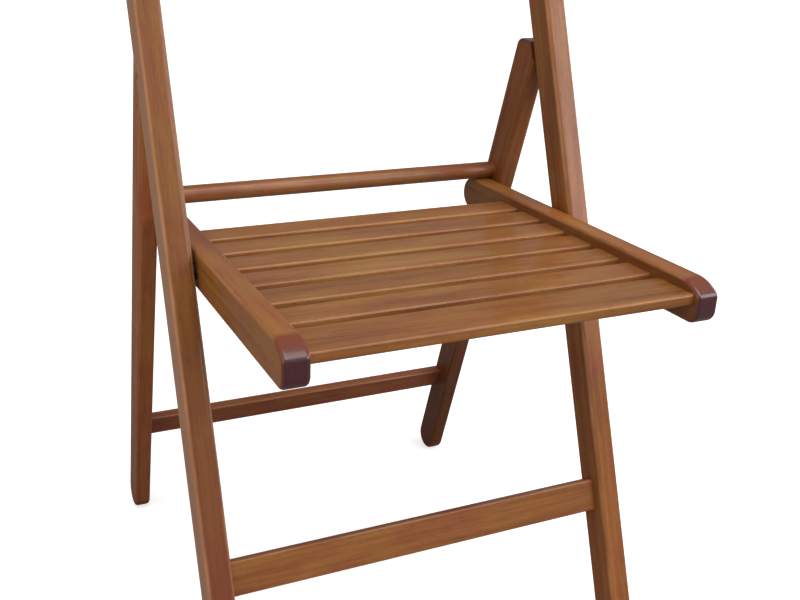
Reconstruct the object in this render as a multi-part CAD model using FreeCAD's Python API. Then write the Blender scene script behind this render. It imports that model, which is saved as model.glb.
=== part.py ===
"""Slatted wooden folding chair: front frame, seat and rear frame, each pivoted on the posts.

Millimetres. X runs across the chair, the chair faces -Y, and Z is up. The origin is on the floor,
in the middle of the chair's footprint. The chair stands open, as it is sat on.
"""
import FreeCAD
import Part
import math
import os

V = FreeCAD.Vector

# Overall
TOTAL_HEIGHT = 770.0
SEAT_DATUM_HEIGHT = 429.0       # floor to where the rail tops cross the front faces of the posts
HALF_WIDTH = 220.0              # middle of the chair to the outer face of a post

# Posts
POST_LEAN = 24.5                # degrees, backward
POST_THICK = 24.0
POST_DEPTH = 33.5
POST_EDGE_ROUND = 5.0

# Rear legs, in the same plane as the posts
LEG_LEAN = 13.4                 # degrees, forward
LEG_FRONT_AT_DATUM = 129.7      # front face of the leg behind the datum, at datum height
LEG_INNER_X = 194.5
LEG_THICK = 19.5                # at the top; the outer face tapers in towards the foot
LEG_FOOT_THICK = 17.3
PLANING_SPARE = 1.0             # left on the leg's blank for planing the taper
LEG_DEPTH = 36.0
LEG_EDGE_ROUND = 3.5
LEG_TOP_BEARING = 20.0          # length of the mitred top that bears on the post
LEG_TOP_CORNER = 8.0
BEARING_GAP = 0.3

# Seat rails
SEAT_TILT = 3.7                 # degrees, rear end lower
RAIL_THICK = 22.0
RAIL_HEIGHT = 36.0
RAIL_EDGE_ROUND = 3.5
RAIL_POST_GAP = 3.0
RAIL_FRONT = -222.0             # ends of the rails along the seat, from the datum
RAIL_REAR = 174.0
NOSE_SLOPE_LENGTH = 26.0        # the rail's top curves down over this length to a soft crease
NOSE_SLOPE_DROP = 10.0
NOSE_CREASE_ROUND = 7.0
NOSE_CHIN_ROUND = 11.0          # lower corner of the nose

# Seat slats
SLAT_THICK = 10.0
SLAT_BELOW_RAIL = 9.0
SLAT_WIDTH = 33.0
FRONT_SLAT_WIDTH = 46.0
FRONT_SLAT_START = -216.0
SLAT_START = -160.5
SLAT_PITCH = 43.5
SLAT_COUNT = 7
SLAT_EDGE_ROUND = 2.5
SLAT_TENON_LENGTH = 8.0
SLAT_TENON_SHOULDER = 5.0
SLAT_TENON_THICK = 6.0

# Stretchers and backrest slats: distances along their post or leg, and depth within it
STRETCHER_THICK = 12.0
TENON_LENGTH = 10.0
TENON_SHOULDER = 4.0
TENON_CHEEK = 2.0
TENON_ROOT = 5.0                # overlap of a tenon with a bowed slat
BOARD_EDGE_ROUND = 2.0
FRONT_STRETCHER_SPAN = (-309.0, -277.0)
FRONT_STRETCHER_SETBACK = 10.5
REAR_STRETCHER_SPAN = (-338.0, -313.0)
REAR_STRETCHER_SETBACK = 23.0
BACK_SLAT_SPANS = {"back_slat_lower": (250.0, 292.0), "back_slat_upper": (306.0, 348.0)}
BACK_SLAT_THICK = 11.0
BACK_SLAT_SETBACK = 8.0
BACK_SLAT_BOW = 8.0

# Stop dowel
DOWEL_RADIUS = 9.0
DOWEL_ALONG_SEAT = 154.3
DOWEL_ABOVE_RAIL = 0.3
DOWEL_TENON_RADIUS = 6.0
DOWEL_TENON_LENGTH = 11.0

# Seat pivot
PIVOT_ALONG_SEAT = 8.25
PIVOT_BELOW_RAIL_TOP = 20.0
BOLT_RADIUS = 3.0
BOLT_BORE_RADIUS = 3.08
BOLT_HEAD_RADIUS = 6.0
BOLT_HEAD_THICK = 4.0
BOLT_SOCKET_RADIUS = 2.0
BOLT_SOCKET_DEPTH = 2.5
COUNTERBORE_RADIUS = 6.6
COUNTERBORE_DEPTH = 5.0
HEAD_CLEARANCE = 0.3
INSERT_RADIUS = 4.5
INSERT_LENGTH = 14.0
WASHER_RADIUS = 8.0

# Rear leg pivot
PIVOT_IN_POST = 9.0             # from the rear face of the post
PIN_RADIUS = 2.5
PIN_BORE_RADIUS = 2.56
PLATE_THICK = 3.0
PLATE_EYE_RADIUS = 7.0
PLATE_SPAN = (-52.0, -8.0)      # plate inside the leg, from the pivot, along and into the leg
PLATE_DEPTHS = (6.0, 24.0)
PLATE_NECK = (-15.0, 4.0)       # corner where the plate's neck enters the leg
PLATE_PIN_RADIUS = 2.0
PLATE_PIN_SPOTS = ((-20.0, 15.0), (-42.0, 15.0))
POST_SLOT_SPAN = (-24.0, 10.0)  # slot for the plate in the post, along it from the pivot
POST_SLOT_DEPTH = 18.0
SLOT_CLEARANCE = 0.3
PLUG_THICK = 3.0
PLUG_OVER_PIN = 1.0


class Bar:
    """A straight member seen from the side: t runs along it and n across it, from front to rear."""

    def __init__(self, start, along, across):
        self.start = start
        self.along = along
        self.across = across

    def at(self, t, n, x=0.0):
        """Point at distance t along the bar and n across it, in the plane at x."""
        offset = self.along * t + self.across * n
        return V(x, self.start.y + offset.y, self.start.z + offset.z)


def direction(y, z):
    return V(0.0, y, z)


lean = math.radians(POST_LEAN)
leg_lean = math.radians(LEG_LEAN)
tilt = math.radians(SEAT_TILT)
RAIL_ROUND = RAIL_HEIGHT / 2
FOOT_ROUND = LEG_DEPTH / 2

# The footprint runs from the rail noses to the rear feet, and the origin is in its middle.
nose_y = (RAIL_FRONT + NOSE_CHIN_ROUND) * math.cos(tilt) - NOSE_CHIN_ROUND \
    - (RAIL_HEIGHT - NOSE_CHIN_ROUND) * math.sin(tilt)
foot_rise = SEAT_DATUM_HEIGHT - FOOT_ROUND
foot_y = LEG_FRONT_AT_DATUM + foot_rise * math.tan(leg_lean) + FOOT_ROUND / math.cos(leg_lean) + FOOT_ROUND
datum = V(0.0, -(nose_y + foot_y) / 2, SEAT_DATUM_HEIGHT)

post = Bar(datum, direction(math.sin(lean), math.cos(lean)), direction(math.cos(lean), -math.sin(lean)))
leg = Bar(datum + V(0, LEG_FRONT_AT_DATUM, 0), direction(-math.sin(leg_lean), math.cos(leg_lean)),
          direction(math.cos(leg_lean), math.sin(leg_lean)))
seat = Bar(datum, direction(math.cos(tilt), -math.sin(tilt)), direction(math.sin(tilt), math.cos(tilt)))

POST_INNER_X = HALF_WIDTH - POST_THICK
RAIL_OUTER_X = POST_INNER_X - RAIL_POST_GAP
RAIL_INNER_X = RAIL_OUTER_X - RAIL_THICK
LEG_OUTER_X = LEG_INNER_X + LEG_THICK
PLATE_X = LEG_INNER_X + LEG_THICK / 2


def meet(bar_a, n_a, bar_b, n_b):
    """Distance along bar_a where its line at depth n_a crosses bar_b's line at depth n_b."""
    gap = bar_b.at(0, n_b) - bar_a.at(0, n_a)
    return gap.dot(bar_b.across) / bar_a.along.dot(bar_b.across)


def level_crossing(bar, n, z):
    """Distance along a bar where its line at depth n reaches height z."""
    return (z - bar.at(0, n).z) / bar.along.z


APEX = meet(post, POST_DEPTH, leg, 0.0)     # along the post, where the leg's front face meets it
half_fold = (lean + leg_lean) / 2
LEG_PIVOT_ALONG = APEX - PIVOT_IN_POST * math.tan(half_fold)
leg_pivot = post.at(LEG_PIVOT_ALONG, POST_DEPTH - PIVOT_IN_POST)
seat_pivot = seat.at(PIVOT_ALONG_SEAT, -PIVOT_BELOW_RAIL_TOP)
leg_at_pivot = Bar(leg_pivot - leg.across * (leg_pivot - leg.start).dot(leg.across), leg.along, leg.across)


def outline(edges, x0, x1):
    """Solid between x0 and x1 with the given outline of edges, drawn at x = 0."""
    face = Part.Face(Part.Wire(Part.__sortEdges__(edges)))
    solid = face.extrude(V(x1 - x0, 0, 0))
    solid.translate(V(x0, 0, 0))
    return solid


def polygon(points, x0, x1):
    corners = points + points[:1]
    return outline([Part.makeLine(a, b) for a, b in zip(corners, corners[1:])], x0, x1)


def box_on(bar, t_span, n_span, x_span):
    """Straight box on a bar: spans along it, across it and along X."""
    corners = [bar.at(t_span[0], n_span[0]), bar.at(t_span[1], n_span[0]),
               bar.at(t_span[1], n_span[1]), bar.at(t_span[0], n_span[1])]
    return polygon(corners, x_span[0], x_span[1])


def cross_cylinder(centre, radius, x0, x1):
    return Part.makeCylinder(radius, x1 - x0, V(x0, centre.y, centre.z), V(1, 0, 0))


def arc_end(bar, t, radius, n, sign):
    """Half circle centred at depth n that closes the end of a bar, bulging forward or back along it."""
    return Part.Arc(bar.at(t, n - radius), bar.at(t + sign * radius, n), bar.at(t, n + radius)).toShape()


def tangent_point(centre, radius, outside, side):
    """Point where the line from an outside point touches a circle in the side plane."""
    to_point = outside - centre
    angle = math.atan2(to_point.z, to_point.y) + side * math.acos(radius / to_point.Length)
    return centre + V(0, radius * math.cos(angle), radius * math.sin(angle))


def round_edges(solid, radius, wanted):
    edges = [edge for edge in solid.Edges if wanted(edge)]
    return solid.makeFillet(radius, edges)


def on_side_faces(edge):
    """Whether an edge belongs to the outline on one of the two flat sides."""
    return edge.BoundBox.XLength < 0.01


def crosses_at(edge, corner):
    """Whether an edge runs across the chair through a corner of the outline."""
    middle = edge.CenterOfMass
    return edge.BoundBox.XLength > 1.0 and math.hypot(middle.y - corner.y, middle.z - corner.z) < 0.1


def mirrored(solid):
    return solid.mirror(V(0, 0, 0), V(1, 0, 0))


def both_sides(solid):
    return Part.makeCompound([mirrored(solid), solid])


# Posts -------------------------------------------------------------------------------------------
def make_post():
    """Leaning post, cut level at the floor and fully rounded at the top."""
    radius = POST_DEPTH / 2
    top = level_crossing(post, radius, TOTAL_HEIGHT - radius)
    foot_front = post.at(level_crossing(post, 0.0, 0.0), 0.0)
    foot_rear = post.at(level_crossing(post, POST_DEPTH, 0.0), POST_DEPTH)
    sides = [Part.makeLine(foot_front, post.at(top, 0.0)),
             arc_end(post, top, radius, radius, 1),
             Part.makeLine(post.at(top, POST_DEPTH), foot_rear)]
    blank = outline(sides + [Part.makeLine(foot_rear, foot_front)], POST_INNER_X, HALF_WIDTH)
    return round_edges(blank, POST_EDGE_ROUND,
                       lambda edge: on_side_faces(edge) and edge.BoundBox.ZMax > 1.0)


# Crosswise boards --------------------------------------------------------------------------------
def make_board(bar, span, depth, thick, half_length):
    """Flat board between two members with a stub tenon at each end; gives board and tenons."""
    body = box_on(bar, span, (depth, depth + thick), (-half_length, half_length))
    body = round_edges(body, BOARD_EDGE_ROUND, lambda edge: edge.BoundBox.XLength > half_length)
    tenon_span = (span[0] + TENON_SHOULDER, span[1] - TENON_SHOULDER)
    tenon_depth = (depth + TENON_CHEEK, depth + thick - TENON_CHEEK)
    reach = half_length + TENON_LENGTH
    tenon = box_on(bar, tenon_span, tenon_depth, (-reach, reach))
    return body.fuse(tenon).removeSplitter(), tenon


def make_back_slat(span):
    """Backrest slat, bowed rearward, with a straight stub tenon at each end."""
    def arc(depth, t):
        ends = [post.at(t, depth, -POST_INNER_X), post.at(t, depth, POST_INNER_X)]
        return Part.Arc(ends[0], post.at(t, depth + BACK_SLAT_BOW, 0.0), ends[1]).toShape(), ends

    front, front_ends = arc(BACK_SLAT_SETBACK, span[0])
    rear, rear_ends = arc(BACK_SLAT_SETBACK + BACK_SLAT_THICK, span[0])
    ends = [Part.makeLine(front_ends[i], rear_ends[i]) for i in (0, 1)]
    face = Part.Face(Part.Wire(Part.__sortEdges__([front, ends[0], rear, ends[1]])))
    body = face.extrude(post.along * (span[1] - span[0]))
    body = round_edges(body, BOARD_EDGE_ROUND, lambda edge: edge.BoundBox.XLength > POST_INNER_X)
    tenon_span = (span[0] + TENON_SHOULDER, span[1] - TENON_SHOULDER)
    depth = (BACK_SLAT_SETBACK + TENON_CHEEK, BACK_SLAT_SETBACK + BACK_SLAT_THICK - TENON_CHEEK)
    tenon = box_on(post, tenon_span, depth, (POST_INNER_X - TENON_ROOT, POST_INNER_X + TENON_LENGTH))
    tenons = both_sides(tenon)
    return body.fuse(tenon).fuse(mirrored(tenon)).removeSplitter(), tenons


# Rear legs ---------------------------------------------------------------------------------------
def make_leg(taper):
    """Leg with a mitred top, a full round foot and its outer face planed to a taper."""
    bearing = POST_DEPTH + BEARING_GAP
    apex = post.at(meet(post, bearing, leg, 0.0), bearing)
    mitre_top = post.at(APEX + LEG_TOP_BEARING, bearing)
    rear_corner = leg.at(level_crossing(leg, LEG_DEPTH, mitre_top.z), LEG_DEPTH)
    foot = level_crossing(leg, FOOT_ROUND, FOOT_ROUND)
    edges = [Part.makeLine(leg.at(foot, 0.0), apex),
             Part.makeLine(apex, mitre_top),
             Part.makeLine(mitre_top, rear_corner),
             Part.makeLine(rear_corner, leg.at(foot, LEG_DEPTH)),
             arc_end(leg, foot, FOOT_ROUND, FOOT_ROUND, -1)]
    blank = outline(edges, LEG_INNER_X, LEG_INNER_X + LEG_THICK + PLANING_SPARE)
    blank = round_edges(blank, LEG_TOP_CORNER, lambda edge: crosses_at(edge, rear_corner)).cut(taper)
    return round_edges(blank, LEG_EDGE_ROUND, lambda edge: edge.BoundBox.XLength < LEG_THICK / 2
                       and edge.Length > 1.5 * LEG_TOP_BEARING)


def make_leg_taper():
    """What is planed off the outer face of a leg: least at the top and most at the foot."""
    pivot_height = level_crossing(leg, 0.0, leg_pivot.z)
    floor_height = level_crossing(leg, 0.0, 0.0)
    slope = (LEG_THICK - LEG_FOOT_THICK) / (pivot_height - floor_height)
    spare_x = LEG_OUTER_X + 2 * PLANING_SPARE
    high = pivot_height + LEG_DEPTH
    low = floor_height - LEG_DEPTH
    corners = [leg.at(high, -PLANING_SPARE, LEG_OUTER_X + (high - pivot_height) * slope),
               leg.at(low, -PLANING_SPARE, LEG_OUTER_X + (low - pivot_height) * slope),
               leg.at(low, -PLANING_SPARE, spare_x),
               leg.at(high, -PLANING_SPARE, spare_x)]
    face = Part.Face(Part.makePolygon(corners + corners[:1]))
    return face.extrude(leg.across * (LEG_DEPTH + 2 * PLANING_SPARE))


def make_hinge_plate():
    """Plate with its eye round the pivot and a neck that widens into the leg."""
    x_span = (PLATE_X - PLATE_THICK / 2, PLATE_X + PLATE_THICK / 2)
    neck = leg_at_pivot.at(*PLATE_NECK)
    tail_front = leg_at_pivot.at(PLATE_SPAN[0], PLATE_DEPTHS[0])
    tail_rear = leg_at_pivot.at(PLATE_SPAN[0], PLATE_DEPTHS[1])
    shoulder = leg_at_pivot.at(PLATE_SPAN[1], PLATE_DEPTHS[1])
    web = polygon([leg_pivot, tangent_point(leg_pivot, PLATE_EYE_RADIUS, neck, -1), neck, tail_front,
                   tail_rear, shoulder, tangent_point(leg_pivot, PLATE_EYE_RADIUS, shoulder, 1)], *x_span)
    blank = web.fuse(cross_cylinder(leg_pivot, PLATE_EYE_RADIUS, *x_span)).removeSplitter()
    return blank


# Seat --------------------------------------------------------------------------------------------
def make_rail():
    """Rail with a full round rear end and a nose that slopes down to a soft crease and a chin."""
    rear = RAIL_REAR - RAIL_ROUND
    slope_start = RAIL_FRONT + NOSE_SLOPE_LENGTH
    slope_radius = (NOSE_SLOPE_LENGTH ** 2 + NOSE_SLOPE_DROP ** 2) / (2 * NOSE_SLOPE_DROP)
    half_turn = math.asin(NOSE_SLOPE_LENGTH / slope_radius) / 2
    slope_middle = seat.at(slope_start - slope_radius * math.sin(half_turn),
                           slope_radius * (math.cos(half_turn) - 1.0))
    crease = seat.at(RAIL_FRONT, -NOSE_SLOPE_DROP)
    chin = seat.at(RAIL_FRONT, -RAIL_HEIGHT)
    edges = [Part.makeLine(seat.at(slope_start, 0.0), seat.at(rear, 0.0)),
             arc_end(seat, rear, RAIL_ROUND, -RAIL_ROUND, 1),
             Part.makeLine(seat.at(rear, -RAIL_HEIGHT), chin),
             Part.makeLine(chin, crease),
             Part.Arc(crease, slope_middle, seat.at(slope_start, 0.0)).toShape()]
    blank = outline(edges, RAIL_INNER_X, RAIL_OUTER_X)
    for corner, radius in ((crease, NOSE_CREASE_ROUND), (chin, NOSE_CHIN_ROUND)):
        blank = round_edges(blank, radius, lambda edge: crosses_at(edge, corner))
    return round_edges(blank, RAIL_EDGE_ROUND, on_side_faces)


def make_slat(start, width):
    """Seat slat between the rails with a stub tenon at each end; gives slat and tenons."""
    top = -SLAT_BELOW_RAIL
    body = box_on(seat, (start, start + width), (top - SLAT_THICK, top), (-RAIL_INNER_X, RAIL_INNER_X))
    body = round_edges(body, SLAT_EDGE_ROUND, lambda edge: edge.BoundBox.XLength > RAIL_INNER_X)
    cheek = (SLAT_THICK - SLAT_TENON_THICK) / 2
    reach = RAIL_INNER_X + SLAT_TENON_LENGTH
    tenon = box_on(seat, (start + SLAT_TENON_SHOULDER, start + width - SLAT_TENON_SHOULDER),
                   (top - SLAT_THICK + cheek, top - cheek), (-reach, reach))
    return body.fuse(tenon).removeSplitter(), tenon


nodes = {}

# Boards, with the mortises that they leave
front_stretcher, front_tenon = make_board(post, FRONT_STRETCHER_SPAN, FRONT_STRETCHER_SETBACK,
                                          STRETCHER_THICK, POST_INNER_X)
rear_stretcher, rear_tenon = make_board(leg, REAR_STRETCHER_SPAN, REAR_STRETCHER_SETBACK,
                                        STRETCHER_THICK, LEG_INNER_X)
nodes["front_stretcher"] = front_stretcher
nodes["rear_stretcher"] = rear_stretcher
post_cuts = [front_tenon]               # everything that is let into a post
for name, span in BACK_SLAT_SPANS.items():
    nodes[name], back_tenons = make_back_slat(span)
    post_cuts.append(back_tenons)

slat_tenons = []
for number in range(SLAT_COUNT):
    if number == 0:
        slat, slat_tenon = make_slat(FRONT_SLAT_START, FRONT_SLAT_WIDTH)
    else:
        slat, slat_tenon = make_slat(SLAT_START + (number - 1) * SLAT_PITCH, SLAT_WIDTH)
    nodes["seat_slat_%d" % (number + 1)] = slat
    slat_tenons.append(slat_tenon)

# Stop dowel
dowel_centre = seat.at(DOWEL_ALONG_SEAT, DOWEL_ABOVE_RAIL + DOWEL_RADIUS)
dowel_reach = LEG_INNER_X + DOWEL_TENON_LENGTH
dowel_tenon = cross_cylinder(dowel_centre, DOWEL_TENON_RADIUS, -dowel_reach, dowel_reach)
dowel_bar = cross_cylinder(dowel_centre, DOWEL_RADIUS, -LEG_INNER_X, LEG_INNER_X)
nodes["stop_dowel"] = dowel_bar.fuse(dowel_tenon)

# Seat pivot: bolt head in the rail's inner face, shank through rail and washer into the insert
head_x = RAIL_INNER_X + COUNTERBORE_DEPTH - HEAD_CLEARANCE
bolt_end_x = POST_INNER_X + INSERT_LENGTH
bolt = cross_cylinder(seat_pivot, BOLT_HEAD_RADIUS, head_x - BOLT_HEAD_THICK, head_x)
bolt = bolt.cut(cross_cylinder(seat_pivot, BOLT_SOCKET_RADIUS, head_x - BOLT_HEAD_THICK,
                               head_x - BOLT_HEAD_THICK + BOLT_SOCKET_DEPTH))
bolt = bolt.fuse(cross_cylinder(seat_pivot, BOLT_RADIUS, head_x, bolt_end_x)).removeSplitter()
insert = cross_cylinder(seat_pivot, INSERT_RADIUS, POST_INNER_X, bolt_end_x)
insert = insert.cut(cross_cylinder(seat_pivot, BOLT_RADIUS, POST_INNER_X, bolt_end_x))
washer = cross_cylinder(seat_pivot, WASHER_RADIUS, RAIL_OUTER_X + HEAD_CLEARANCE, POST_INNER_X)
washer = washer.cut(cross_cylinder(seat_pivot, BOLT_RADIUS, RAIL_OUTER_X, POST_INNER_X))
nodes["seat_pivot_bolts"] = both_sides(bolt)
nodes["seat_pivot_inserts"] = both_sides(insert)
nodes["seat_pivot_washers"] = both_sides(washer)

rail = make_rail()
rail = rail.cut(cross_cylinder(seat_pivot, COUNTERBORE_RADIUS, RAIL_INNER_X,
                               RAIL_INNER_X + COUNTERBORE_DEPTH))
rail = rail.cut(cross_cylinder(seat_pivot, BOLT_BORE_RADIUS, RAIL_INNER_X, RAIL_OUTER_X))
for slat_tenon in slat_tenons:
    rail = rail.cut(slat_tenon)
nodes["left_seat_rail"] = mirrored(rail)
nodes["right_seat_rail"] = rail

# Rear leg pivot: plate pinned in the leg, its eye on a cross pin in the post's slot
plate = make_hinge_plate()
leg_taper = make_leg_taper()
rear_leg = make_leg(leg_taper).cut(plate).cut(rear_tenon).cut(dowel_tenon)
plate = plate.cut(cross_cylinder(leg_pivot, PIN_BORE_RADIUS, LEG_INNER_X, HALF_WIDTH))
plate_pins = []
plate_plugs = []
for along, into in PLATE_PIN_SPOTS:
    spot = leg_at_pivot.at(along, into)
    pin = cross_cylinder(spot, PLATE_PIN_RADIUS, LEG_INNER_X + PLUG_THICK, LEG_OUTER_X - PLUG_THICK)
    plug = cross_cylinder(spot, PLATE_PIN_RADIUS + PLUG_OVER_PIN, LEG_OUTER_X - PLUG_THICK, LEG_OUTER_X)
    plug = plug.cut(leg_taper)
    plate = plate.cut(pin)
    rear_leg = rear_leg.cut(pin).cut(plug)
    plate_pins += [mirrored(pin), pin]
    plate_plugs += [mirrored(plug), plug]
nodes["left_rear_leg"] = mirrored(rear_leg)
nodes["right_rear_leg"] = rear_leg
nodes["hinge_plates"] = both_sides(plate)
nodes["plate_pins"] = Part.makeCompound(plate_pins)
nodes["plate_pin_plugs"] = Part.makeCompound(plate_plugs)

cross_pin = cross_cylinder(leg_pivot, PIN_RADIUS, POST_INNER_X + PLUG_THICK, HALF_WIDTH - PLUG_THICK)
cross_plug = cross_cylinder(leg_pivot, PIN_RADIUS + PLUG_OVER_PIN, HALF_WIDTH - PLUG_THICK, HALF_WIDTH)
slot = box_on(post, (LEG_PIVOT_ALONG + POST_SLOT_SPAN[0], LEG_PIVOT_ALONG + POST_SLOT_SPAN[1]),
              (POST_DEPTH - POST_SLOT_DEPTH, POST_DEPTH + 1.0),
              (PLATE_X - PLATE_THICK / 2 - SLOT_CLEARANCE, PLATE_X + PLATE_THICK / 2 + SLOT_CLEARANCE))
insert_hole = cross_cylinder(seat_pivot, INSERT_RADIUS, POST_INNER_X, bolt_end_x)
post_cuts += [insert_hole, cross_pin, cross_plug, slot]
post_solid = make_post()
for cutter in post_cuts:
    post_solid = post_solid.cut(cutter)
nodes["left_post"] = mirrored(post_solid)
nodes["right_post"] = post_solid
nodes["leg_pivot_pins"] = both_sides(cross_pin)
nodes["pivot_plugs"] = both_sides(cross_plug)

os.makedirs("parts", exist_ok=True)
for name, shape in nodes.items():
    shape.exportStep("parts/%s.step" % name)
    print("%-20s solids %d valid %s volume %.0f" % (name, len(shape.Solids), shape.isValid(), shape.Volume))
print("seat pivot %.3f %.3f, leg pivot %.3f %.3f" % (seat_pivot.y, seat_pivot.z, leg_pivot.y, leg_pivot.z))
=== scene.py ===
"""Looks for the slatted folding chair: walnut-stained, varnished beech with plain steel hardware."""

import math

import bpy
from mathutils import Matrix, Vector

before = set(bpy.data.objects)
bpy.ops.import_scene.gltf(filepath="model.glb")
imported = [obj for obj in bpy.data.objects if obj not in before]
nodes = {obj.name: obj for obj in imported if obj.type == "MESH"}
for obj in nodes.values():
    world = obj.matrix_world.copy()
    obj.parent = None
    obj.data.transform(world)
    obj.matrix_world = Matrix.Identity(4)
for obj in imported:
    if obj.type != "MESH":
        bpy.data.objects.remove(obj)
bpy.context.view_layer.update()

# Graphs -----------------------------------------------------------------------------------------
OFFSET_SHARES = (1.0, 1.7, 0.6)             # how an offset in the grain is spread over X, Y and Z


def linear(red, green, blue):
    """A display colour, 0 to 255, as the linear colour that a shader takes."""
    def channel(value):
        value /= 255.0
        return value / 12.92 if value <= 0.04045 else ((value + 0.055) / 1.055) ** 2.4
    return (channel(red), channel(green), channel(blue), 1.0)


class Graph:
    """A short way to write node graphs."""

    def __init__(self, name):
        self.material = bpy.data.materials.new(name)
        self.material.use_nodes = True
        self.tree = self.material.node_tree
        self.tree.nodes.clear()

    def node(self, kind, inputs=None, **settings):
        made = self.tree.nodes.new("ShaderNode" + kind)
        for key, value in settings.items():
            setattr(made, key, value)
        for key, value in (inputs or {}).items():
            self.feed(made.inputs[key], value)
        return made

    def feed(self, socket, value):
        """Link another node's output to a socket, or set the socket's own value."""
        if isinstance(value, bpy.types.NodeSocket):
            self.tree.links.new(value, socket)
        else:
            socket.default_value = value

    def math(self, operation, a, b=0.0):
        return self.node("Math", {0: a, 1: b}, operation=operation).outputs[0]

    def add(self, a, b):
        return self.math("ADD", a, b)

    def times(self, a, b):
        return self.math("MULTIPLY", a, b)

    def fit(self, value, low_shade, high, to_low=0.0, to_high=1.0):
        """The value's range from low to high, brought to another range and clamped there."""
        made = self.node("MapRange", {"Value": value, "From Min": low_shade, "From Max": high,
                                      "To Min": to_low, "To Max": to_high}, clamp=True)
        return made.outputs["Result"]

    def blend(self, factor, a, b, mode="MIX"):
        made = self.node("Mix", data_type="RGBA", blend_type=mode)
        for index, value in ((0, factor), (6, a), (7, b)):      # the node's sockets for colours
            self.feed(made.inputs[index], value)
        return made.outputs[2]

    def parts(self, vector):
        return self.node("SeparateXYZ", {"Vector": vector}).outputs

    def noise(self, vector, scale, detail=3.0, roughness=0.5):
        made = self.node("TexNoise", {"Vector": vector, "Scale": scale, "Detail": detail,
                                      "Roughness": roughness, "Distortion": 0.0})
        return made.outputs["Fac"]

    def grain(self, vector, layer, offset=0.0):
        """Noise stretched along Z. The offset moves it to another part of the tree."""
        across, along, detail, roughness = layer
        made = self.node("Mapping", {"Vector": vector, "Scale": (across, across, along),
                                     "Location": [offset * share for share in OFFSET_SHARES]})
        return self.noise(made.outputs["Vector"], 1.0, detail, roughness)

    def bump(self, height, strength, depth):
        return self.node("Bump", {"Height": height, "Strength": strength,
                                  "Distance": depth}).outputs["Normal"]

    def finish(self, shader):
        self.node("OutputMaterial", {"Surface": shader.outputs[0]})
        return self.material


# Wood -------------------------------------------------------------------------------------------
LIGHT_TONE = linear(166, 112, 58)
MID_TONE = linear(146, 92, 44)
DARK_TONE = linear(112, 64, 30)
# Pores and end grain, and also the painted shade near the floor and on the right rail's sides
PORE_AND_SHADE_TONE = linear(66, 34, 20)
SLOPE_STAIN_AND_SHADE_TONE = linear(112, 56, 42)            # partly end-grain stain, partly painted shade, on the rounded noses, feet and post tops; painted shade low on the posts
END_TONE = linear(54, 18, 44)
# Pale worn wood, and also the painted highlight on the left post's sides
WORN_AND_SHEEN_TONE = linear(190, 140, 106)
YELLOW_STAIN = (1.06, 1.10, 0.98, 1.0)
RED_STAIN = (0.96, 0.78, 0.90, 1.0)

# Noise in the wood: features per metre across and along the grain, detail, roughness
WAVER = (14.0, 1.6, 2.0, 0.5)
PATCHES = (16.0, 5.0, 3.0, 0.55)
STREAKS = (260.0, 9.0, 6.0, 0.68)
WARMTH = (38.0, 15.0, 3.0, 0.6)
FINE_GRAIN = (900.0, 40.0, 3.0, 0.6)
FLECKS = (1100.0, 110.0, 1.0, 0.5)
WEAR = (60.0, 22.0, 3.0, 0.5)
END_GRAIN = (700.0, 700.0, 2.0, 0.5)
SMEARS_PER_METRE = 22.0

# Growth rings, in metres
HEART_X, HEART_Y = 0.06, 0.05               # from the member to the heart of the tree
HEART_DRIFT_X, HEART_DRIFT_Y = 0.011, -0.007    # the same for another part of the tree
RING_TURNS = 640.0                          # radians of ring pattern for each metre
RING_WAVER = 0.03

# Where the noise starts to show and where it shows in full
TONE_BAND = (0.34, 0.86)
RED_BAND = (0.38, 0.64)
FINE_BAND = (0.45, 0.75)
FLECK_BAND = (0.60, 0.74)
WEAR_BAND = (0.42, 0.68)
END_GRAIN_BAND = (0.4, 0.7)
RAIL_SHADE_PATCH_BAND = (0.25, 0.55)
SMEAR_BAND = (0.35, 0.7)

# Which way a face looks: how large a part of its normal has to be
EDGE_BAND = (0.985, 0.80)                   # flat faces, rounded edges
SLOPE_BAND = (0.02, 0.14)
END_BAND = (0.30, 0.90)
# faces that look left and right, for the painted shade and highlight on them
PAINTED_SIDE_BAND = (0.45, 0.95)
END_VARNISH_BAND = (0.2, 0.8)

# Places in the chair, in metres
LOW_SHADE_BAND = (0.12, 0.40)                     # heights between which the painted shade near the floor fades out
RAIL_SHADE_BAND = (0.08, 0.17)                 # distances from the chair's middle over which the painted shade at the slat ends comes in

# How strongly each layer shows
PATCH_SHARE, STREAK_SHARE, RING_SHARE = 0.42, 0.66, 0.09
FINE_COVER, FLECK_COVER, SLOPE_SHADE_COVER, END_COVER = 0.28, 0.35, 0.92, 0.90
WORN, LITTLE_WORN, SLAT_WORN = 0.38, 0.10, 0.20
LEAST_WEAR = 0.2                            # as a share of the most

# Finish
VARNISH, DULL, END_VARNISH = 0.28, 0.10, 0.9
VARNISH_ROUGHNESS = 0.11
WOOD_IOR = 1.45
WOOD_SPECULAR = 0.32
SMOOTHEST, ROUGHEST = 0.26, 0.38
STREAK_ROUGHNESS, WEAR_ROUGHNESS = 0.08, 0.10
FINE_RELIEF = 0.5                           # of the streaks' relief
GRAIN_RELIEF, GRAIN_DEPTH = 0.22, 0.0004


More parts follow.
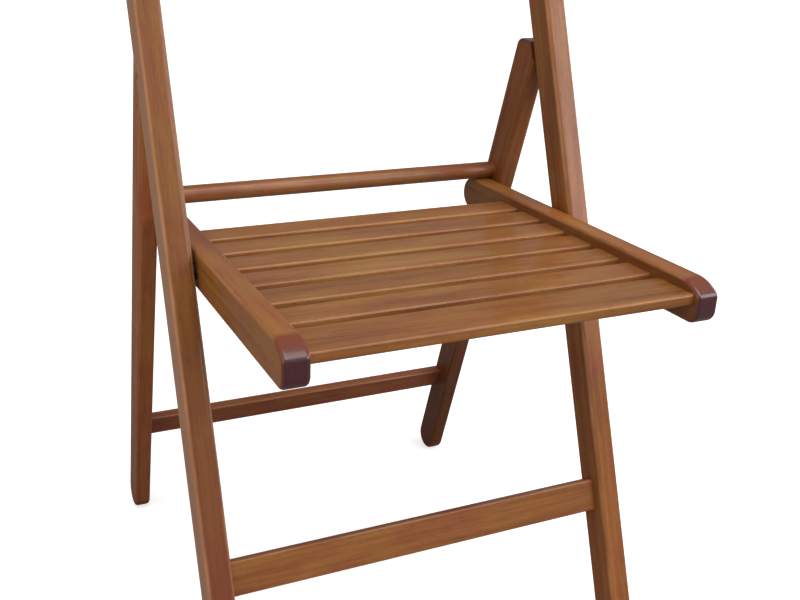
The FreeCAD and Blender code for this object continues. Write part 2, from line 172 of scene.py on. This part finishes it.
def wood(name, turn, tint, offset, varnish=VARNISH, worn=WORN, low_shade=None, side=None, rail_shade_ends=False):
    """Varnished wood whose grain runs along one member.

    The offset moves it to another part of the tree. Worn is how much pale wood shows along the
    edges. Low shade is a painted shade near the floor, a tone and how much of it shows, and side is
    the same for the faces that look left and right: painted shade on the right rail and a painted
    highlight on the left post. The last argument paints shade where the slats meet the rails,
    redder and a little darker toward the chair's left and right.
    """
    g = Graph(name)
    coordinates = g.node("TexCoord")
    in_chair = coordinates.outputs["Object"]
    place_in_chair = g.parts(in_chair)
    turned = g.node("Mapping", {"Vector": in_chair, "Rotation": turn}).outputs["Vector"]
    facing = g.node("Mapping", {"Vector": coordinates.outputs["Normal"], "Rotation": turn},
                    vector_type="NORMAL").outputs["Vector"]
    normal = g.parts(facing)
    size_x, size_y, size_z = [g.math("ABSOLUTE", normal[axis]) for axis in "XYZ"]

    # Flat faces look along one axis of the member, rounded edges look between two
    flatness = g.math("MAXIMUM", g.math("MAXIMUM", size_x, size_y), size_z)
    on_edge = g.fit(flatness, *EDGE_BAND)
    on_shaded_slope = g.fit(size_z, *SLOPE_BAND)
    on_end = g.fit(size_z, *END_BAND)

    # Growth rings round a heart outside the member, wavering slowly along it
    waver = g.grain(turned, WAVER, offset)
    place = g.parts(turned)
    from_heart_x = g.add(place["X"], HEART_X + HEART_DRIFT_X * offset)
    from_heart_y = g.add(place["Y"], HEART_Y + HEART_DRIFT_Y * offset)
    radius = g.math("SQRT", g.add(g.times(from_heart_x, from_heart_x),
                                  g.times(from_heart_y, from_heart_y)))
    radius = g.add(radius, g.times(waver, RING_WAVER))
    rings = g.fit(g.math("SINE", g.times(radius, RING_TURNS)), -1.0, 1.0)

    patches = g.grain(turned, PATCHES, offset)
    streaks = g.grain(turned, STREAKS, offset)
    warmth = g.grain(turned, WARMTH, offset + 5.0)
    fine = g.grain(turned, FINE_GRAIN, offset)
    flecks = g.fit(g.grain(turned, FLECKS, offset), *FLECK_BAND)

    # The stain
    tone = g.add(g.times(patches, PATCH_SHARE), g.times(streaks, STREAK_SHARE))
    tone = g.add(tone, g.times(rings, RING_SHARE))
    ramp = g.node("ValToRGB", {"Fac": g.fit(tone, *TONE_BAND)})
    ramp.color_ramp.elements[0].color = DARK_TONE
    ramp.color_ramp.elements[1].color = LIGHT_TONE
    ramp.color_ramp.elements.new(0.5).color = MID_TONE
    redness = g.fit(warmth, *RED_BAND)
    # Painted shade where the slats meet the rails: redder and a little darker toward the chair's left and
    # right
    if rail_shade_ends:
        near_rail_shade = g.fit(g.math("ABSOLUTE", place_in_chair["X"]), *RAIL_SHADE_BAND)
        redness = g.math("MAXIMUM", redness, g.times(near_rail_shade, g.fit(patches, *RAIL_SHADE_PATCH_BAND)))
    colour = g.blend(redness, YELLOW_STAIN, RED_STAIN)
    colour = g.blend(1.0, ramp.outputs["Color"], colour, "MULTIPLY")
    colour = g.blend(g.fit(fine, *FINE_BAND, 0.0, FINE_COVER), colour, DARK_TONE)
    colour = g.blend(g.times(flecks, FLECK_COVER), colour, PORE_AND_SHADE_TONE)
    colour = g.blend(1.0, colour, tint, "MULTIPLY")
    # Painted shade near the floor
    if low_shade:
        low_shade_tone, low_shade_amount = low_shade
        colour = g.blend(g.fit(place_in_chair["Z"], *LOW_SHADE_BAND, low_shade_amount, 0.0), colour, low_shade_tone)
    # Painted shade and highlight on the faces that look left and right
    if side:
        painted_side_tone, painted_side_amount = side
        colour = g.blend(g.fit(size_x, *PAINTED_SIDE_BAND, 0.0, painted_side_amount), colour, painted_side_tone)

    # Worn edges; the slopes, darker and redder, partly end-grain stain and partly painted shade; and the
    # dark ends of the member
    wear_spots = g.fit(g.grain(turned, WEAR, offset + 3.0), *WEAR_BAND)
    wear = g.times(on_edge, g.fit(wear_spots, 0.0, 1.0, LEAST_WEAR * worn, worn))
    colour = g.blend(wear, colour, WORN_AND_SHEEN_TONE)
    end_speckle = g.grain(turned, END_GRAIN, offset)
    end_colour = g.blend(g.fit(end_speckle, *END_GRAIN_BAND), END_TONE, PORE_AND_SHADE_TONE)
    colour = g.blend(g.times(on_shaded_slope, SLOPE_SHADE_COVER), colour, SLOPE_STAIN_AND_SHADE_TONE)
    colour = g.blend(g.times(on_end, END_COVER), colour, end_colour)

    # The surface under the varnish
    smears = g.noise(in_chair, SMEARS_PER_METRE, detail=4.0, roughness=0.6)
    roughness = g.add(g.fit(smears, *SMEAR_BAND, SMOOTHEST, ROUGHEST), g.times(streaks, STREAK_ROUGHNESS))
    roughness = g.add(roughness, g.times(wear, WEAR_ROUGHNESS))
    height = g.math("SUBTRACT", g.add(streaks, g.times(fine, FINE_RELIEF)), flecks)
    bump = g.bump(height, GRAIN_RELIEF, GRAIN_DEPTH)

    return g.finish(g.node("BsdfPrincipled", {
        "Base Color": colour, "Roughness": roughness, "Normal": bump, "IOR": WOOD_IOR,
        "Specular IOR Level": WOOD_SPECULAR, "Coat Roughness": VARNISH_ROUGHNESS, "Coat IOR": WOOD_IOR,
        "Coat Weight": g.fit(size_z, *END_VARNISH_BAND, varnish, END_VARNISH)}))


# Hardware ---------------------------------------------------------------------------------------
TURNING_MARKS = (900.0, 2600.0, 3.0, 0.5)
TARNISH_PER_METRE = 240.0
TARNISH_BAND = (0.42, 0.72)
TARNISH_DARKENING = 0.62
TURNING_DEPTH = SPECKLE_DEPTH = 0.0001
SPECKLES_PER_METRE = 1500.0
# Warm blacks for the washers, as dark as the gap where they sit
DARK_WASHER_TONES = (linear(30, 18, 14), linear(48, 30, 24))
HARDWARE_BAND = (0.3, 0.7)                  # of the marks or speckle, for roughness


def metal(name, base, rough_low, rough_high):
    """Plain hardware metal with fine turning marks."""
    g = Graph(name)
    coordinates = g.node("TexCoord").outputs["Object"]
    marks = g.grain(coordinates, TURNING_MARKS)
    tarnish = g.noise(coordinates, TARNISH_PER_METRE, detail=4.0, roughness=0.6)
    darker = tuple(channel * TARNISH_DARKENING for channel in base[:3]) + (1.0,)
    colour = g.blend(g.fit(tarnish, *TARNISH_BAND), base, darker)
    bump = g.bump(marks, 0.15, TURNING_DEPTH)
    return g.finish(g.node("BsdfPrincipled", {
        "Base Color": colour, "Metallic": 1.0,
        "Roughness": g.fit(marks, *HARDWARE_BAND, rough_low, rough_high), "Normal": bump}))


def dark_washer(name):
    """A warm black with a faint speckle, as dark as the gap between post and rail where the washers sit."""
    g = Graph(name)
    speckle = g.noise(g.node("TexCoord").outputs["Object"], SPECKLES_PER_METRE, detail=2.0)
    bump = g.bump(speckle, 0.2, SPECKLE_DEPTH)
    return g.finish(g.node("BsdfPrincipled", {
        "Base Color": g.blend(speckle, *DARK_WASHER_TONES),
        "Roughness": g.fit(speckle, *HARDWARE_BAND, 0.60, 0.75), "Specular IOR Level": 0.2, "Normal": bump}))


# Dressing the chair -----------------------------------------------------------------------------
# The members' slopes in the side plane, and a quarter turn
POST_LEAN = math.radians(24.5)
LEG_LEAN = math.radians(13.4)
SEAT_TILT = math.radians(3.7)
QUARTER = math.radians(90.0)

# How each member is turned so that its grain runs along the material's own Z
ALONG_POST = (POST_LEAN, 0.0, 0.0)
ALONG_LEG = (-LEG_LEAN, 0.0, 0.0)
ALONG_RAIL = (QUARTER + SEAT_TILT, 0.0, 0.0)
ACROSS_ON_SEAT = (SEAT_TILT, -QUARTER, 0.0)
ACROSS_ON_POST = (POST_LEAN, -QUARTER, 0.0)
ACROSS_ON_LEG = (-LEG_LEAN, -QUARTER, 0.0)

# Each length's tint is partly how it took the stain and partly painted light and shade: the right leg's is
# darkened for the seat's shade, the left leg's lightened
LEFT_POST_TINT = (0.72, 0.75, 0.76, 1.0)
RIGHT_POST_TINT = (0.93, 0.96, 1.00, 1.0)
LEFT_RAIL_TINT = (0.92, 0.95, 0.92, 1.0)
RIGHT_RAIL_TINT = (1.02, 1.06, 0.95, 1.0)
LEFT_LEG_STAIN_AND_LIGHT_TINT = (1.14, 1.04, 1.24, 1.0)
RIGHT_LEG_STAIN_AND_SHADE_TINT = (0.80, 0.76, 0.94, 1.0)
FRONT_BOARD_TINT = (0.84, 0.86, 0.95, 1.0)
REAR_BOARD_TINT = (0.78, 0.68, 1.10, 1.0)
DOWEL_TINT = (0.86, 0.86, 1.12, 1.0)
PLUG_TINT = (0.70, 0.60, 0.58, 1.0)
SLAT_TINT = (0.92, 1.06, 1.15, 1.0)
SLATS = 7
PLACE_BETWEEN_SLATS = 1.37                  # how far apart in the tree two slats come from


def dress(node, material):
    slots = nodes[node].data.materials
    slots.clear()
    slots.append(material)


LEG_FINISH = {"varnish": DULL, "worn": LITTLE_WORN}
# Node, material, turn, tint, place in the tree, and anything else about its finish
WOODEN = [
    # The posts and legs carry painted shade near the floor, and the left post a painted highlight on its
    # sides
    ("left_post", "left_post", ALONG_POST, LEFT_POST_TINT, 0.4,
     {"low_shade": (SLOPE_STAIN_AND_SHADE_TONE, 0.78), "side": (WORN_AND_SHEEN_TONE, 0.55)}),
    ("right_post", "right_post", ALONG_POST, RIGHT_POST_TINT, 2.3, {"low_shade": (SLOPE_STAIN_AND_SHADE_TONE, 0.15)}),
    ("left_rear_leg", "left_leg", ALONG_LEG, LEFT_LEG_STAIN_AND_LIGHT_TINT, 1.1, dict(LEG_FINISH, low_shade=(PORE_AND_SHADE_TONE, 0.35))),
    ("right_rear_leg", "right_leg", ALONG_LEG, RIGHT_LEG_STAIN_AND_SHADE_TINT, 3.7,
     dict(LEG_FINISH, low_shade=(PORE_AND_SHADE_TONE, 0.70))),
    ("left_seat_rail", "left_rail", ALONG_RAIL, LEFT_RAIL_TINT, 0.9, {}),
    # The right rail's sides carry painted shade
    ("right_seat_rail", "right_rail", ALONG_RAIL, RIGHT_RAIL_TINT, 4.2, {"side": (PORE_AND_SHADE_TONE, 0.42)}),
    ("front_stretcher", "front_stretcher", ACROSS_ON_POST, FRONT_BOARD_TINT, 5.1, {}),
    ("rear_stretcher", "rear_stretcher", ACROSS_ON_LEG, REAR_BOARD_TINT, 6.4, {}),
    ("stop_dowel", "dowel", ACROSS_ON_LEG, DOWEL_TINT, 7.2, {}),
    ("back_slat_lower", "back_lower", ACROSS_ON_POST, LEFT_POST_TINT, 8.3, {}),
    ("back_slat_upper", "back_upper", ACROSS_ON_POST, LEFT_POST_TINT, 9.6, {}),
    ("pivot_plugs", "pivot_plugs", ALONG_POST, PLUG_TINT, 2.9, {}),
    ("plate_pin_plugs", "plate_pin_plugs", ALONG_POST, PLUG_TINT, 2.9, {}),
]
# The slats carry painted shade toward their ends at the rails
WOODEN += [("seat_slat_%d" % number, "slat_%d" % number, ACROSS_ON_SEAT, SLAT_TINT,
            PLACE_BETWEEN_SLATS * number, {"worn": SLAT_WORN, "rail_shade_ends": True})
           for number in range(1, SLATS + 1)]
for node, material, turn, tint, offset, finish in WOODEN:
    dress(node, wood("wood_" + material, turn, tint, offset, **finish))

zinc = metal("bright_zinc", linear(196, 198, 202), 0.25, 0.42)
brass = metal("plain_brass", linear(196, 160, 88), 0.30, 0.45)
for node in ("seat_pivot_bolts", "leg_pivot_pins", "hinge_plates", "plate_pins"):
    dress(node, zinc)
# The washers' material is a warm black, as dark as the gap where they sit
dress("seat_pivot_washers", dark_washer("black_nylon"))
dress("seat_pivot_inserts", brass)

# Camera -----------------------------------------------------------------------------------------
CAMERA_PLACE = Vector((-0.4053, -0.8157, 0.7590))
CAMERA_YAW = math.radians(24.83)            # from +Y toward +X
CAMERA_PITCH = math.radians(-24.73)
CAMERA_ROLL = math.radians(3.25)
CAMERA_LENS = 45.22
CAMERA_SENSOR = 36.0
CAMERA_SHIFT = (0.0555, 0.0080)
NEAREST_SEEN = 0.01

look = Vector((math.sin(CAMERA_YAW) * math.cos(CAMERA_PITCH),
               math.cos(CAMERA_YAW) * math.cos(CAMERA_PITCH), math.sin(CAMERA_PITCH)))
level_right = look.cross(Vector((0, 0, 1))).normalized()
level_up = level_right.cross(look)
right = math.cos(CAMERA_ROLL) * level_right + math.sin(CAMERA_ROLL) * level_up
up = math.cos(CAMERA_ROLL) * level_up - math.sin(CAMERA_ROLL) * level_right

camera = bpy.data.objects.new("camera", bpy.data.cameras.new("camera"))
bpy.context.scene.collection.objects.link(camera)
camera.matrix_world = Matrix.Translation(CAMERA_PLACE) @ Matrix((right, up, -look)).transposed().to_4x4()
camera.data.lens = CAMERA_LENS
camera.data.sensor_width = CAMERA_SENSOR
camera.data.shift_x, camera.data.shift_y = CAMERA_SHIFT
camera.data.clip_start = NEAREST_SEEN
bpy.context.scene.camera = camera

# Floor and room ---------------------------------------------------------------------------------
FLOOR_HALF = 12.0
PAPER_WHITE = (1.0, 1.0, 1.0, 1.0)
FLOOR_BOUNCE = (0.38, 0.36, 0.34, 1.0)      # the floor as it throws light on the chair
FLOOR_MIRRORED = (0.18, 0.17, 0.16, 1.0)    # the floor as the varnish mirrors it
FLOOR_SEEN = (0.62, 0.62, 0.62, 1.0)        # the floor as the camera sees it, before its glow
FLOOR_GLOW = 0.62
DIM_ROOM = 0.25                             # light from the room, against the white that is seen


def seen_directly(tree):
    return tree.nodes.new("ShaderNodeLightPath").outputs["Is Camera Ray"]


floor_mesh = bpy.data.meshes.new("floor")
floor_mesh.from_pydata([(-FLOOR_HALF, -FLOOR_HALF, 0), (FLOOR_HALF, -FLOOR_HALF, 0),
                        (FLOOR_HALF, FLOOR_HALF, 0), (-FLOOR_HALF, FLOOR_HALF, 0)], [], [(0, 1, 2, 3)])
floor = bpy.data.objects.new("floor", floor_mesh)
bpy.context.scene.collection.objects.link(floor)
paper = Graph("floor_paper")
seen = seen_directly(paper.tree)
mirrored = paper.node("LightPath").outputs["Is Glossy Ray"]
bounce_tone = paper.blend(mirrored, FLOOR_BOUNCE, FLOOR_MIRRORED)
paper_matt = paper.node("BsdfDiffuse", {"Color": paper.blend(seen, bounce_tone, FLOOR_SEEN)})
paper_glow = paper.node("Emission", {"Color": PAPER_WHITE, "Strength": paper.times(seen, FLOOR_GLOW)})
floor_mesh.materials.append(paper.finish(paper.node("AddShader", {0: paper_matt.outputs[0],
                                                                  1: paper_glow.outputs[0]})))

world = bpy.data.worlds.new("studio")
bpy.context.scene.world = world
world.use_nodes = True
room = world.node_tree.nodes["Background"]
room.inputs["Color"].default_value = PAPER_WHITE
room_strength = world.node_tree.nodes.new("ShaderNodeMapRange")
room_strength.inputs["To Min"].default_value = DIM_ROOM
world.node_tree.links.new(seen_directly(world.node_tree), room_strength.inputs["Value"])
world.node_tree.links.new(room_strength.outputs["Result"], room.inputs["Strength"])

# Lights -----------------------------------------------------------------------------------------
CHAIR_MIDDLE = Vector((0.0, 0.0, 0.45))
SKY_PLACE = (0.1, -0.7, 2.4)
SKY_STRENGTH = 2.3
SKY_SPREAD = math.radians(55.0)
# Name, place, width and height in metres, watts, colour
SOFTBOXES = (
    ("front_right_box", (1.38, -1.52, 1.40), (1.7, 1.05), 24.0, (1.0, 0.94, 0.95)),
    ("left_box", (-2.00, -0.45, 1.05), (2.4, 1.6), 16.5, (1.0, 0.88, 0.76)),
    ("right_rim_box", (2.20, 0.10, 0.80), (1.0, 1.6), 12.0, (1.0, 0.97, 0.96)),
)


def hang(name, kind, place, energy):
    """Put up a light that points at the middle of the chair."""
    data = bpy.data.lights.new(name, kind)
    data.energy = energy
    light = bpy.data.objects.new(name, data)
    light.location = place
    light.rotation_euler = (CHAIR_MIDDLE - Vector(place)).to_track_quat("-Z", "Y").to_euler()
    bpy.context.scene.collection.objects.link(light)
    return data


hang("overhead", "SUN", SKY_PLACE, SKY_STRENGTH).angle = SKY_SPREAD
for name, place, size, watts, colour in SOFTBOXES:
    box = hang(name, "AREA", place, watts)
    box.shape = "RECTANGLE"
    box.size, box.size_y = size
    box.color = colour

bpy.context.scene.view_settings.view_transform = "Standard"
bpy.context.scene.view_settings.look = "None"
